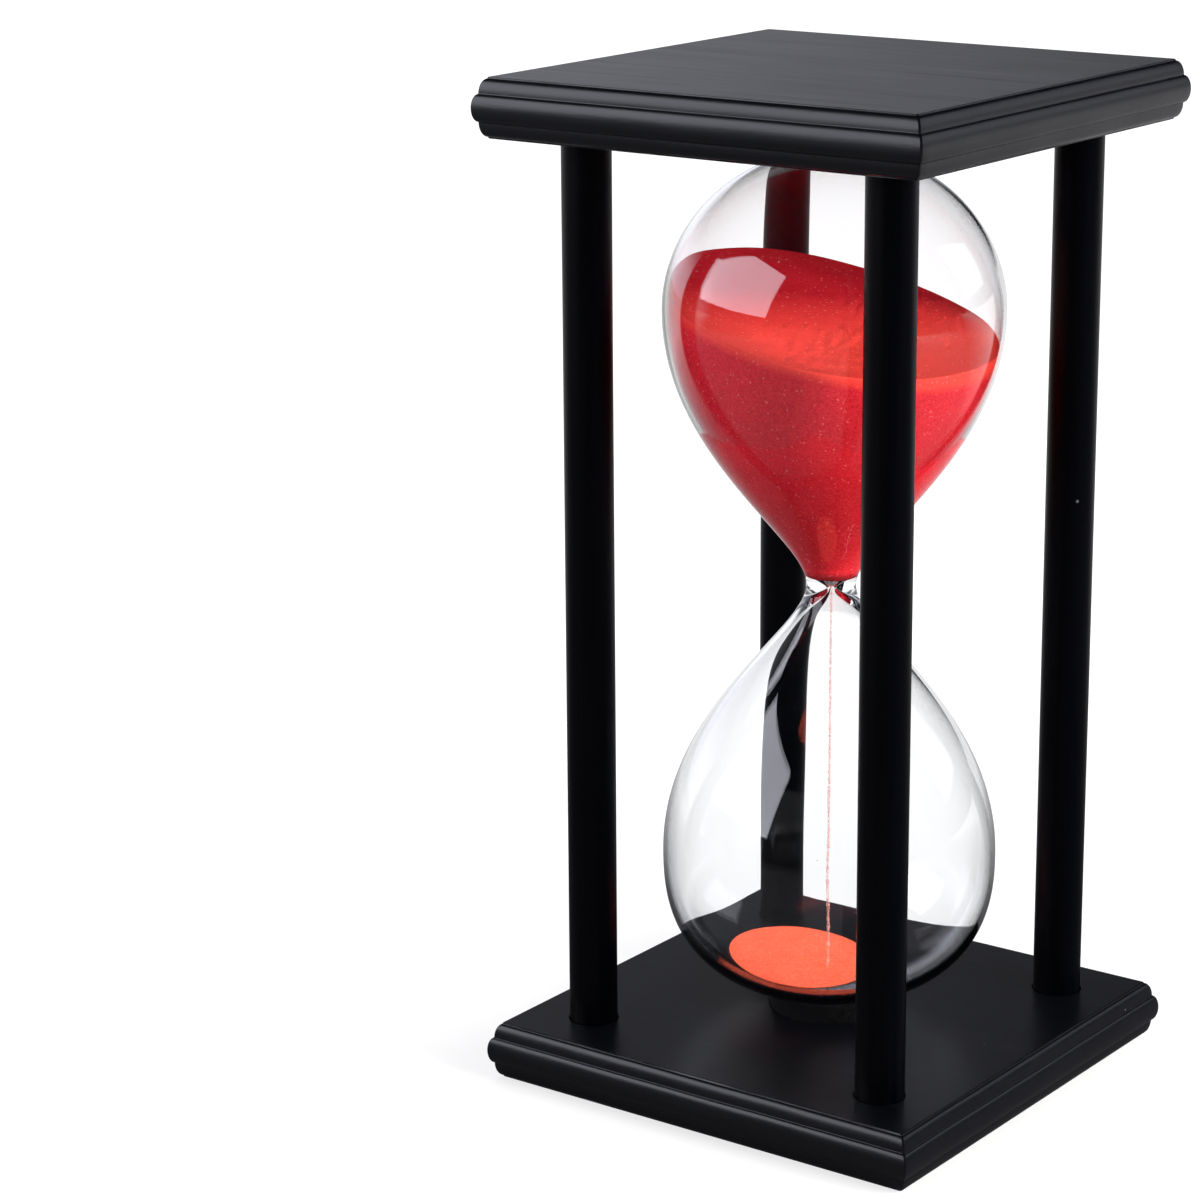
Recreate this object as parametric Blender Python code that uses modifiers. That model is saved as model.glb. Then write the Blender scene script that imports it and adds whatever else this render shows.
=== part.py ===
"""A sand hourglass: a blown glass vessel held between two moulded wooden plates.

The frame is two square plates with an ovolo, a bead and an ovolo round their edge,
and four round posts glued into blind sockets. The glass vessel has two bulbs joined
by a thick neck with a fine orifice. Its ends rest in soft rings that stand in shallow
recesses of the plates, and a stopper closes the hole through which it was filled.
The sand is in three parts: what is left above, the falling stream, and the pool below.

Units are metres and +Z is up. The origin is the middle of the underside.
Run it with: blender --background --python part.py
"""

import math

import bmesh
import bpy
import numpy as np
from mathutils import Matrix

# Frame. The posts' place is counted from the plates' edge, so that it follows SIDE.
HEIGHT = 0.250
SIDE = 0.123
PLATE_THICKNESS = 0.0144
POST_DIAMETER = 0.0120
POST_EDGE_DISTANCE = 0.0193
SOCKET_DEPTH = 0.0090

# Moulded edge of a plate, as insets from the bead's outermost line.
FACE_INSET = 0.0029
GROOVE_INSET = 0.0013
BEAD_HEIGHT = 0.0065
QUIRK_DEPTH = 0.0004

# Glass vessel. The two handle shares shape the taper between neck and bulb. Each
# bulb's end is a superellipse: its height is a share of the bulb's radius, and a
# roundness of 2 is an ellipse, with fuller shoulders above that.
BULB_TO_POST = 0.0123
UPPER_STANDOFF = 0.0049
GLASS_DROP = 0.0011
UPPER_END_SHARE = 0.93
UPPER_END_ROUNDNESS = 2.0
LOWER_END_SHARE = 0.88
LOWER_END_ROUNDNESS = 2.5
GLASS_WALL = 0.0012
NECK_DIAMETER = 0.0122
ORIFICE_DIAMETER = 0.0020
NECK_WEB = 0.0026
NECK_HANDLE_SHARE = 0.172
BULB_HANDLE_SHARE = 0.514
FILL_HOLE_DIAMETER = 0.0076
STOPPER_LENGTH = 0.0040
STOPPER_TAPER = 0.0003

# Soft rings that the ends of the glass rest in.
SEAT_DIAMETER = 0.0290
SEAT_HOLE_DIAMETER = 0.0170
SEAT_RECESS_DEPTH = 0.0012

# Sand. Both surfaces slope down towards +X.
UPPER_SAND_TILT = math.radians(14)
UPPER_SAND_HEIGHT = 0.0674
LOWER_SAND_TILT = math.radians(8.5)
LOWER_SAND_DEPTH = 0.0018
STREAM_DIAMETER = 0.0010

# Clearance left between pieces that touch on the real object.
GAP = 0.0003

# Fineness of the curved surfaces.
ROUND_STEPS = 40
POST_SIDES = 24
STREAM_SIDES = 10
TAPER_POINTS = 10
CAP_POINTS = 10
FUNNEL_POINTS = 4
OVOLO_POINTS = 5
BEAD_POINTS = 9

# Lengths that follow from the sizes above.
MIDDLE = HEIGHT / 2
INNER_HALF = MIDDLE - PLATE_THICKNESS
POST_OFFSET = SIDE / 2 - POST_EDGE_DISTANCE
BULB_RADIUS = POST_OFFSET * math.sqrt(2) - POST_DIAMETER / 2 - BULB_TO_POST
UPPER_END_HEIGHT = UPPER_END_SHARE * BULB_RADIUS
LOWER_END_HEIGHT = LOWER_END_SHARE * BULB_RADIUS
UPPER_END = (UPPER_END_HEIGHT, UPPER_END_ROUNDNESS)
LOWER_END = (LOWER_END_HEIGHT, LOWER_END_ROUNDNESS)
NECK_Z = MIDDLE - GLASS_DROP
EQUATOR_HEIGHT = INNER_HALF + GLASS_DROP - UPPER_STANDOFF - UPPER_END_HEIGHT
OVERSHOOT = 0.002


def clear_scene():
    """Remove the objects that the scene starts with."""
    for item in list(bpy.data.objects):
        bpy.data.objects.remove(item, do_unlink=True)


def new_collection(name):
    """Add a collection to the scene."""
    collection = bpy.data.collections.new(name)
    bpy.context.scene.collection.children.link(collection)
    return collection


def new_material(name, colour, roughness, transmission=0.0, ior=1.5):
    """A Principled material of one colour."""
    material = bpy.data.materials.new(name)
    material.use_nodes = True
    shader = material.node_tree.nodes["Principled BSDF"]
    shader.inputs["Base Color"].default_value = (*colour, 1.0)
    shader.inputs["Roughness"].default_value = roughness
    shader.inputs["Metallic"].default_value = 0.0
    shader.inputs["IOR"].default_value = ior
    shader.inputs["Transmission Weight"].default_value = transmission
    material.diffuse_color = (*colour, 1.0)
    return material


def add_part(name, mesh, material):
    """Link a mesh to the parts' collection as one sub-part of the hourglass."""
    part = bpy.data.objects.new(name, mesh)
    part.data.materials.append(material)
    part.parent = hourglass
    parts.objects.link(part)
    return part


def add_cutter(name, mesh):
    """Link a mesh to the cutters' collection, where it is left out of a render."""
    cutter = bpy.data.objects.new(name, mesh)
    cutter.hide_render = True
    cutter.display_type = "WIRE"
    cutters.objects.link(cutter)
    return cutter


def cut(part, cutter):
    """Take the cutter's volume out of a part."""
    boolean = part.modifiers.new("cut_" + cutter.name, "BOOLEAN")
    boolean.operation = "DIFFERENCE"
    boolean.solver = "EXACT"
    boolean.object = cutter


def mesh_from_bmesh(name, shape):
    """Finish a bmesh as mesh data."""
    mesh = bpy.data.meshes.new(name)
    shape.to_mesh(mesh)
    shape.free()
    return mesh


def add_rod(shape, radius, low, high, sides, x=0.0, y=0.0):
    """Put a capped upright cylinder between two heights into a bmesh."""
    bmesh.ops.create_cone(
        shape,
        cap_ends=True,
        segments=sides,
        radius1=radius,
        radius2=radius,
        depth=high - low,
        matrix=Matrix.Translation((x, y, (low + high) / 2)),
    )


def turn(part, steps, smooth):
    """Sweep the part's profile round Z."""
    screw = part.modifiers.new("turn", "SCREW")
    screw.axis = "Z"
    screw.angle = math.tau
    screw.steps = steps
    screw.render_steps = steps
    screw.use_merge_vertices = True
    screw.merge_threshold = 0.00001
    screw.use_smooth_shade = smooth


def profile_part(name, profile, closed, material, steps=ROUND_STEPS, smooth=True):
    """Turn a profile of (radius, height) points, which runs down its outer side."""
    points = [(float(radius), 0.0, float(height)) for radius, height in profile]
    edges = [(i, i + 1) for i in range(len(points) - 1)]
    if closed:
        edges.append((len(points) - 1, 0))
    mesh = bpy.data.meshes.new(name)
    mesh.from_pydata(points, edges, [])
    part = add_part(name, mesh, material)
    turn(part, steps, smooth)
    return part


def arc(centre, radii, start, end, count):
    """Points along an ellipse's arc, at angles in degrees from +X towards +Z."""
    angles = np.radians(np.linspace(start, end, count))
    across = centre[0] + radii[0] * np.cos(angles)
    up = centre[1] + radii[1] * np.sin(angles)
    return np.stack([across, up], axis=1)


def moulded_edge():
    """(inset, depth) points down a plate's edge: quirk, ovolo, bead, ovolo, quirk."""
    groove_depth = (PLATE_THICKNESS - BEAD_HEIGHT) / 2
    ovolo_radii = (FACE_INSET - GROOVE_INSET, groove_depth - QUIRK_DEPTH)
    ovolo = arc((FACE_INSET, groove_depth), ovolo_radii, 270, 180, OVOLO_POINTS)
    bead_centre = (GROOVE_INSET, PLATE_THICKNESS / 2)
    bead = arc(bead_centre, (GROOVE_INSET, BEAD_HEIGHT / 2), 270, 90, BEAD_POINTS)
    upper = np.vstack([[(FACE_INSET, 0.0)], ovolo])
    lower = upper[::-1] * (1, -1) + (0, PLATE_THICKNESS)
    return np.vstack([upper, bead[1:-1], lower])


def make_plate(name, inner_z, outward):
    """A square plate: its edge profile turned in four steps, which mitres the corners."""
    top_z = max(inner_z, inner_z + outward * PLATE_THICKNESS)
    edge = moulded_edge()
    corner_distance = (SIDE / 2 - edge[:, 0]) * math.sqrt(2)
    heights = top_z - edge[:, 1]
    outline = np.stack([corner_distance, heights], axis=1)
    profile = np.vstack([[(0.0, heights[0])], outline, [(0.0, heights[-1])]])
    plate = profile_part(name, profile, False, wood, steps=4, smooth=False)
    plate.rotation_euler.z = math.radians(45)

    shape = bmesh.new()
    mouth = inner_z - outward * OVERSHOOT
    socket_floor = inner_z + outward * SOCKET_DEPTH
    for x, y in post_places().values():
        low, high = sorted((mouth, socket_floor))
        add_rod(shape, POST_DIAMETER / 2 + GAP, low, high, POST_SIDES, x, y)
    low, high = sorted((mouth, inner_z + outward * SEAT_RECESS_DEPTH))
    add_rod(shape, SEAT_DIAMETER / 2 + GAP, low, high, ROUND_STEPS)
    cut(plate, add_cutter(name + "_sockets", mesh_from_bmesh(name + "_sockets", shape)))


def post_places():
    """Each post's name and the place of its axis."""
    return {
        "post_front_left": (-POST_OFFSET, -POST_OFFSET),
        "post_front_right": (POST_OFFSET, -POST_OFFSET),
        "post_back_right": (POST_OFFSET, POST_OFFSET),
        "post_back_left": (-POST_OFFSET, POST_OFFSET),
    }


def make_posts():
    """Four dowels, each reaching nearly to the bottom of its two sockets."""
    reach = INNER_HALF + SOCKET_DEPTH - GAP
    shape = bmesh.new()
    add_rod(shape, POST_DIAMETER / 2, -reach, reach, POST_SIDES)
    mesh = mesh_from_bmesh("post", shape)
    mesh.shade_smooth()
    mesh.set_sharp_from_angle(angle=math.radians(40))
    mesh.materials.append(wood)
    for name, (x, y) in post_places().items():
        post = bpy.data.objects.new(name, mesh)
        post.location = (x, y, MIDDLE)
        post.parent = hourglass
        parts.objects.link(post)


def outer_taper(t):
    """The glass between neck (t = 0) and widest line (t = 1), and its slopes.

    A cubic curve that leaves the neck and reaches the bulb straight up. It gives
    the radius and the height over the neck, then their rates of change with t.
    """
    neck = NECK_DIAMETER / 2
    first = NECK_HANDLE_SHARE * EQUATOR_HEIGHT
    second = (1 - BULB_HANDLE_SHARE) * EQUATOR_HEIGHT
    rest = 1 - t
    radius = neck + (BULB_RADIUS - neck) * (3 * t**2 - 2 * t**3)
    height = 3 * first * t * rest**2 + 3 * second * t**2 * rest + EQUATOR_HEIGHT * t**3
    radius_rate = (BULB_RADIUS - neck) * 6 * t * rest
    height_rate = (
        3 * first * rest * (rest - 2 * t)
        + 3 * second * t * (2 * rest - t)
        + 3 * EQUATOR_HEIGHT * t**2
    )
    return radius, height, radius_rate, height_rate


def end_height(end, depth, radius):
    """Height over the neck of a bulb's rounded end at a radius, a depth under its outside."""
    end_rise, roundness = end
    share = 1 - (radius / (BULB_RADIUS - depth)) ** roundness
    return EQUATOR_HEIGHT + (end_rise - depth) * share ** (1 / roundness)


def rounded_end(end, depth, end_radius):
    """(radius, height) points from the widest line to the end, which may be open."""
    end_rise, roundness = end
    wide = BULB_RADIUS - depth
    last = math.acos((end_radius / wide) ** (roundness / 2))
    angle = np.linspace(0, last, CAP_POINTS)
    radius = wide * np.abs(np.cos(angle)) ** (2 / roundness)
    height = EQUATOR_HEIGHT + (end_rise - depth) * np.sin(angle) ** (2 / roundness)
    radius[-1] = end_radius
    return np.stack([radius, height], axis=1)


def bulb_outside(end, end_radius):
    """(radius, height) points from the neck up the outside of a bulb to its end."""
    radius, height, _, _ = outer_taper(np.linspace(0, 1, TAPER_POINTS + 1))
    taper = np.stack([radius, height], axis=1)
    return np.vstack([taper, rounded_end(end, 0.0, end_radius)[1:]])


def bulb_inside(end, depth, floor, bore_radius, end_radius):
    """(radius, height) points up a surface that lies a depth under the outside.

    The offset taper is joined near the neck by a ball that touches it and has its
    lowest point at the floor's height. The ball is open by the bore's radius.
    """
    t = np.linspace(0.001, 1, 2000)
    radius, height, radius_rate, height_rate = outer_taper(t)
    length = np.hypot(radius_rate, height_rate)
    inner_radius = radius - depth * height_rate / length
    inner_height = height + depth * radius_rate / length
    ball_centre = inner_height + inner_radius * radius_rate / height_rate
    ball_radius = inner_radius * length / height_rate
    joint = np.argmax(ball_centre - ball_radius > floor)
    centre = ball_centre[joint]
    funnel = ball_radius[joint]

    joint_angle = math.degrees(math.acos(inner_radius[joint] / funnel))
    bore_angle = math.degrees(math.acos(bore_radius / funnel))
    ball = arc((0, centre), (funnel, funnel), -bore_angle, -joint_angle, FUNNEL_POINTS)
    steps = np.linspace(t[joint], 1, TAPER_POINTS)[1:]
    taper = np.stack(
        [np.interp(steps, t, inner_radius), np.interp(steps, t, inner_height)], axis=1
    )
    return np.vstack([ball, taper, rounded_end(end, depth, end_radius)[1:]])


def mirrored(points):
    """The same outline for the bulb under the neck."""
    return points * (1, -1)


def make_vessel():
    """One piece of glass: the wall's profile runs up the inside and down the outside."""
    hole = FILL_HOLE_DIAMETER / 2
    bore = ORIFICE_DIAMETER / 2
    floor = NECK_WEB / 2
    inside_below = mirrored(bulb_inside(LOWER_END, GLASS_WALL, floor, bore, 0.0))[::-1]
    inside_above = bulb_inside(UPPER_END, GLASS_WALL, floor, bore, hole)
    outside_above = bulb_outside(UPPER_END, hole)[::-1]
    outside_below = mirrored(bulb_outside(LOWER_END, 0.0))[1:]
    profile = np.vstack([inside_below, inside_above, outside_above, outside_below])
    vessel = profile_part("glass_vessel", profile, False, glass)
    vessel.location.z = NECK_Z


def make_stopper():
    """A tapered plug in the fill hole, flush with the end of the glass."""
    hole = FILL_HOLE_DIAMETER / 2
    top = end_height(UPPER_END, 0.0, hole)
    wide = hole - GAP
    profile = [
        (0, top),
        (wide, top),
        (wide - STOPPER_TAPER, top - STOPPER_LENGTH),
        (0, top - STOPPER_LENGTH),
    ]
    stopper = profile_part("fill_stopper", profile, False, rubber)
    stopper.location.z = NECK_Z
    stopper.data.set_sharp_from_angle(angle=math.radians(40))


def make_seat_ring(name, side, end):
    """A soft ring that stands in a plate's recess and takes the end of the glass.

    Its inner edge is where the glass touches it, and so sets how high it stands.
    """
    outer = SEAT_DIAMETER / 2
    inner = SEAT_HOLE_DIAMETER / 2
    near = NECK_Z + side * (end_height(end, 0.0, inner) + GAP)
    far = MIDDLE + side * (INNER_HALF + SEAT_RECESS_DEPTH - GAP)
    low, high = sorted((near, far))
    profile = [(outer, high), (outer, low), (inner, low), (inner, high)]
    profile_part(name, profile, True, rubber, smooth=False)


def make_sand(name, outline, surface_z, tilt):
    """Sand that fills a turned outline up to a sloping surface."""
    sand_body = profile_part(name, outline, False, sand)
    sand_body.location.z = NECK_Z
    shape = bmesh.new()
    reach = 2 * SIDE
    bmesh.ops.create_cube(
        shape, size=reach, matrix=Matrix.Translation((0, 0, reach / 2))
    )
    cutter = add_cutter(name + "_level", mesh_from_bmesh(name + "_level", shape))
    cutter.location.z = NECK_Z + surface_z
    cutter.rotation_euler.y = tilt
    cut(sand_body, cutter)


def make_upper_sand():
    """The sand still to run: the inside of the upper bulb up to its level."""
    inside = bulb_inside(UPPER_END, GLASS_WALL + GAP, NECK_WEB / 2 + GAP, 0.0, 0.0)
    make_sand("sand_upper", inside[::-1], UPPER_SAND_HEIGHT, UPPER_SAND_TILT)


def lower_surface_z():
    """Height over the neck at which the pool's sloping surface meets the axis."""
    return LOWER_SAND_DEPTH - end_height(LOWER_END, GLASS_WALL + GAP, 0.0)


def make_lower_sand():
    """The pool in the rounded end of the lower bulb."""
    cap = mirrored(rounded_end(LOWER_END, GLASS_WALL + GAP, 0.0))
    profile = np.vstack([[(0.0, cap[0][1])], cap])
    make_sand("sand_lower", profile, lower_surface_z(), LOWER_SAND_TILT)


def make_stream():
    """The thread of sand from inside the orifice down to the pool."""
    radius = STREAM_DIAMETER / 2
    top = NECK_WEB / 2
    bottom = lower_surface_z() + radius * math.tan(LOWER_SAND_TILT) + GAP
    shape = bmesh.new()
    add_rod(shape, radius, bottom, top, STREAM_SIDES)
    mesh = mesh_from_bmesh("sand_stream", shape)
    mesh.shade_smooth()
    mesh.set_sharp_from_angle(angle=math.radians(50))
    stream = add_part("sand_stream", mesh, sand)
    stream.location.z = NECK_Z


clear_scene()
parts = new_collection("hourglass")
cutters = new_collection("cutters")
hourglass = bpy.data.objects.new("hourglass_origin", None)
parts.objects.link(hourglass)

wood = new_material("black_satin_wood", (0.012, 0.012, 0.014), 0.38)
glass = new_material("clear_glass", (1.0, 1.0, 1.0), 0.0, transmission=1.0)
sand = new_material("red_sand", (0.78, 0.05, 0.04), 0.85)
rubber = new_material("soft_rubber", (0.03, 0.03, 0.03), 0.8)

make_plate("bottom_plate", PLATE_THICKNESS, -1)
make_plate("top_plate", HEIGHT - PLATE_THICKNESS, 1)
make_posts()
make_vessel()
make_stopper()
make_seat_ring("seat_ring_bottom", -1, LOWER_END)
make_seat_ring("seat_ring_top", 1, UPPER_END)
make_upper_sand()
make_stream()
make_lower_sand()
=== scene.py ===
"""Looks of a sand hourglass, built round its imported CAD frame.

Every visible piece is a surface worked out as a grid of points: profiles turned
round the upright axis, and moulded profiles carried round a rounded square. Lengths
are metres, +Z is up and the origin is the middle of the underside.
"""
import math

import bpy
import numpy as np
from mathutils import Matrix, Vector


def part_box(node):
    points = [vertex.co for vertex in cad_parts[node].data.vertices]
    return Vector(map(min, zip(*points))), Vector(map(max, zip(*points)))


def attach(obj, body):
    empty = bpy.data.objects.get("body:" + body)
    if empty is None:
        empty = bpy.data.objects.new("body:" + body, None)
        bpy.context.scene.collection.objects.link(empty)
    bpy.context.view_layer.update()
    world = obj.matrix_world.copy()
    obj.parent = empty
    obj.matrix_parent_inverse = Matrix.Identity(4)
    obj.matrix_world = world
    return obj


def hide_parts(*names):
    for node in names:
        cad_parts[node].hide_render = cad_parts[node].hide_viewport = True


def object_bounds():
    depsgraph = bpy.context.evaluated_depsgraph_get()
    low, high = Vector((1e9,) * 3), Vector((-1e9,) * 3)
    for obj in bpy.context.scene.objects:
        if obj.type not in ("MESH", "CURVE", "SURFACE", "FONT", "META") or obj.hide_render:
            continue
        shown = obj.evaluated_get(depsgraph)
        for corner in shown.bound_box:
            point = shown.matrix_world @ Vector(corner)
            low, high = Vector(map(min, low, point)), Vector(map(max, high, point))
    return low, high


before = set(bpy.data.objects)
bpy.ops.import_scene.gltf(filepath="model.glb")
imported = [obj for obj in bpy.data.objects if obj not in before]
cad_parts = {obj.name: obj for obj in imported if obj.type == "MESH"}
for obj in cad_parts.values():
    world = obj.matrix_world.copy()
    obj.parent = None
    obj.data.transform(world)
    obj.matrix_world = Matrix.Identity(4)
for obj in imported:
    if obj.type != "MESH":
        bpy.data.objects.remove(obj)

cad_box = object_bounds()

# Plate moulding, as insets from the bead's outermost line.
FACE_INSET = 0.0029
GROOVE_INSET = 0.0013
FACE_MARGIN = 0.0012
BEAD_HEIGHT = 0.0065
QUIRK_DEPTH = 0.0004
CORNER_RADIUS = 0.0005
PAINT_FILLET = 0.0002
PROFILE_SPACING = 0.00011

# Holes for the posts and the seats, and the posts' eased ends.
SOCKET_CLEARANCE = 0.0003
CUT_OVERSHOOT = 0.002
POST_EASE = 0.0006

# Blown glass. The handle shares shape the taper between neck and bulb.
GLASS_DROP = 0.0011
BULB_WALL = 0.0008
NECK_WALL = 0.0013
BASE_WALL = 0.0016
NECK_RADIUS = 0.0061
BORE_RADIUS = 0.0008
FUNNEL_SLOPE = 1.05
FUNNEL_SHARPNESS = 12
NECK_HANDLE_SHARE = 0.172
BULB_HANDLE_SHARE = 0.514
UPPER_END_SHARE = 0.93
UPPER_END_ROUNDNESS = 2.0
LOWER_END_SHARE = 0.88
LOWER_END_ROUNDNESS = 2.5
FILL_HOLE_RADIUS = 0.0038
END_ROWS = 54

# Sand. On the upright axis, the upper sand's surface and the tip of its foot are at
# heights over the neck, and the pool has its depth. The upper surface is hollowed
# along and across a direction.
SAND_CLEARANCE = 0.0001
UPPER_SAND_HEIGHT = 0.0660
UPPER_SAND_SLOPE = (-0.2564, 0.0233)
UPPER_SAND_DISH = (0.00245, -0.00233, 0.00115)
DISH_DIRECTION = (0.8, 0.6)
UPPER_SAND_FOOT = 0.0020
FOOT_RISE = 0.0034
LOWER_SAND_DEPTH = 0.00175
LOWER_SAND_TILT = math.radians(8)
WALL_SAMPLES = 6000

# The falling thread, from its start to where it lands.
THREAD_RADIUS = 0.00026
THREAD_SPREAD = 0.0001
THREAD_WAVER = 0.00008
THREAD_LIMITS = (0.00012, 0.0005)
THREAD_SWAY = 0.00012

# Stopper and seats.
RUBBER_SPACING = 0.0001
STOPPER_TAPER = 0.0003
STOPPER_EASE = 0.0003
SEAT_BORE = 0.0085
SEAT_EASE = 0.0004

# How far each surface strays from its formula.
EDGE_WAVE = 0.00006
POST_FLUTES = 0.000018
POST_SWELL = 0.00002
SHELL_WAVE = 0.00006
LINING_WAVE = 0.000035
UPPER_SAND_GRAIN = 0.00005
LOWER_SAND_GRAIN = 0.00006

# A grid's row whose points lie this close together is a single point.
SAME_POINT = 1e-9

POSTS = ("post_front_left", "post_front_right", "post_back_left", "post_back_right")


def node_box(name):
    """Lowest and highest corners of a CAD node, as two arrays."""
    low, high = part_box(name)
    return np.array(low), np.array(high)


bottom_low, bottom_high = node_box("bottom_plate")
glass_low, glass_high = node_box("glass_vessel")
HALF_SIDE = bottom_high[0]
PLATE_THICKNESS = bottom_high[2] - bottom_low[2]
BULB_RADIUS = (glass_high[0] - glass_low[0]) / 2
NECK_Z = (cad_box[0].z + cad_box[1].z) / 2 - GLASS_DROP
UPPER_END = (UPPER_END_SHARE * BULB_RADIUS, UPPER_END_ROUNDNESS)
LOWER_END = (LOWER_END_SHARE * BULB_RADIUS, LOWER_END_ROUNDNESS)
EQUATOR_HEIGHT = NECK_Z - glass_low[2] - LOWER_END[0]


# ---- surfaces ---------------------------------------------------------------------


def grid_mesh(name, grid, ring=False):
    """A mesh over a grid of points whose columns run once round a closed path.

    Each cell between neighbouring rows is a face. A row that has shrunk to one point
    is a single vertex, and the cells beside it are triangles. With ring, the last row
    joins the first. Rows run down the outer side, so the faces point outwards.
    """
    columns = grid.shape[1]
    pole = np.ptp(grid, axis=1).max(axis=1) < SAME_POINT
    counts = np.where(pole, 1, columns)
    starts = np.concatenate([[0], np.cumsum(counts)[:-1]])
    column = np.arange(columns)
    index = starts[:, None] + np.where(pole[:, None], 0, column)
    points = grid[~pole[:, None] | (column == 0)]

    upper = index if ring else index[:-1]
    lower = np.roll(index, -1, axis=0) if ring else index[1:]
    upper_pole = pole if ring else pole[:-1]
    lower_pole = np.roll(pole, -1) if ring else pole[1:]
    after = np.roll(column, -1)
    cells = np.stack([upper, lower, lower[:, after], upper[:, after]], axis=-1)
    quads = cells[~upper_pole & ~lower_pole].reshape(-1, 4)
    fan_down = cells[upper_pole][:, :, [0, 1, 2]].reshape(-1, 3)
    fan_up = cells[lower_pole][:, :, [0, 1, 3]].reshape(-1, 3)
    corners = np.concatenate([quads.ravel(), fan_down.ravel(), fan_up.ravel()])
    totals = np.repeat([4, 3], [len(quads), len(fan_down) + len(fan_up)])
    first_corners = np.concatenate([[0], np.cumsum(totals)[:-1]])

    mesh = bpy.data.meshes.new(name)
    mesh.vertices.add(len(points))
    mesh.vertices.foreach_set("co", points.astype(np.float32).ravel())
    mesh.loops.add(len(corners))
    mesh.loops.foreach_set("vertex_index", corners.astype(np.int32))
    mesh.polygons.add(len(totals))
    mesh.polygons.foreach_set("loop_start", first_corners.astype(np.int32))
    mesh.polygons.foreach_set("loop_total", totals.astype(np.int32))
    mesh.update(calc_edges=True)
    mesh.validate()
    mesh.shade_smooth()
    return mesh


def show_piece(name, mesh, material, node):
    """Show a mesh as a piece that stands for a CAD node and rides with it."""
    piece = bpy.data.objects.new(name, mesh)
    bpy.context.scene.collection.objects.link(piece)
    mesh.materials.clear()
    mesh.materials.append(material)
    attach(piece, "root")
    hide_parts(node)


def turned(profile, steps, x=0.0, y=0.0):
    """Carry (radius, height) points round an upright axis: each row is a circle."""
    angle = np.linspace(0, math.tau, steps, endpoint=False)
    radius = profile[:, :1]
    rows = np.broadcast_to(profile[:, 1:], (len(profile), steps))
    return np.stack([x + radius * np.cos(angle), y + radius * np.sin(angle), rows], axis=-1)


def evenly(points, spacing):
    """The same line of points, resampled at an even spacing along its length."""
    lengths = np.hypot(*np.diff(points, axis=0).T)
    run = np.concatenate([[0], np.cumsum(lengths)])
    places = np.linspace(0, run[-1], max(2, round(run[-1] / spacing) + 1))
    return np.stack([np.interp(places, run, points[:, i]) for i in (0, 1)], axis=1)


def softened(points, spacing, width):
    """A line of points with its corners rounded: a moving average of even samples."""
    line = evenly(points, spacing)
    reach = max(1, round(width / spacing))
    first, last = (np.repeat(end, reach, axis=0) for end in (line[:1], line[-1:]))
    padded = np.vstack([first, line, last])
    share = np.hanning(2 * reach + 3)[1:-1]
    share = share / share.sum()
    soft = np.stack([np.convolve(padded[:, i], share, mode="valid") for i in (0, 1)], axis=1)
    soft[0], soft[-1] = line[0], line[-1]
    return soft


def arc(centre, radii, start, end, count):
    """Points along an ellipse's arc, at angles in degrees from the first axis towards
    the second."""
    angles = np.radians(np.linspace(start, end, count))
    across = centre[0] + radii[0] * np.cos(angles)
    along = centre[1] + radii[1] * np.sin(angles)
    return np.stack([across, along], axis=1)


def crowded(count, power):
    """Numbers from 0 to 1, which crowd towards 0 as the power grows."""
    return np.linspace(0, 1, count) ** power


def ripples(x, y, z, scale, seed, waves=14):
    """Smooth unevenness, mostly between -1 and 1: a sum of sine waves whose
    directions, lengths and phases are drawn from a seed. The lengths are from 0.6 to
    1.6 times the scale."""
    draw = np.random.default_rng(seed)
    directions = draw.normal(size=(waves, 3))
    directions /= np.linalg.norm(directions, axis=1, keepdims=True)
    numbers = math.tau / (scale * draw.uniform(0.6, 1.6, waves))
    phases = draw.uniform(0, math.tau, waves)
    total = np.zeros(np.broadcast(x, y, z).shape)
    for direction, number, phase in zip(directions, numbers, phases):
        total += np.sin(number * (direction[0] * x + direction[1] * y + direction[2] * z) + phase)
    return total / math.sqrt(waves)


# ---- plates and posts -------------------------------------------------------------


def moulded_profile():
    """(inset, depth) points from the middle of a plate's upper face, down its edge,
    to the middle of its lower face: flat, quirk, ovolo, groove, bead and their mirror.
    Even samples are averaged over a short reach, as thick paint rounds the corners."""
    groove = (PLATE_THICKNESS - BEAD_HEIGHT) / 2
    ovolo_radii = (FACE_INSET - GROOVE_INSET, groove - QUIRK_DEPTH)
    ovolo = arc((FACE_INSET, groove), ovolo_radii, 270, 180, 24)
    bead = arc((GROOVE_INSET, PLATE_THICKNESS / 2), (GROOVE_INSET, BEAD_HEIGHT / 2), 270, 90, 40)
    rim = FACE_INSET + FACE_MARGIN
    upper = np.vstack([[(rim, 0.0), (FACE_INSET, 0.0)], ovolo])
    lower = upper[::-1] * (1, -1) + (0, PLATE_THICKNESS)
    edge = softened(np.vstack([upper, bead, lower]), PROFILE_SPACING, PAINT_FILLET)
    face = np.linspace(HALF_SIDE, rim, 14)[:-1]
    top = np.stack([face, np.zeros_like(face)], axis=1)
    bottom = np.stack([face[::-1], np.full_like(face, PLATE_THICKNESS)], axis=1)
    return np.vstack([top, edge, bottom])


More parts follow.
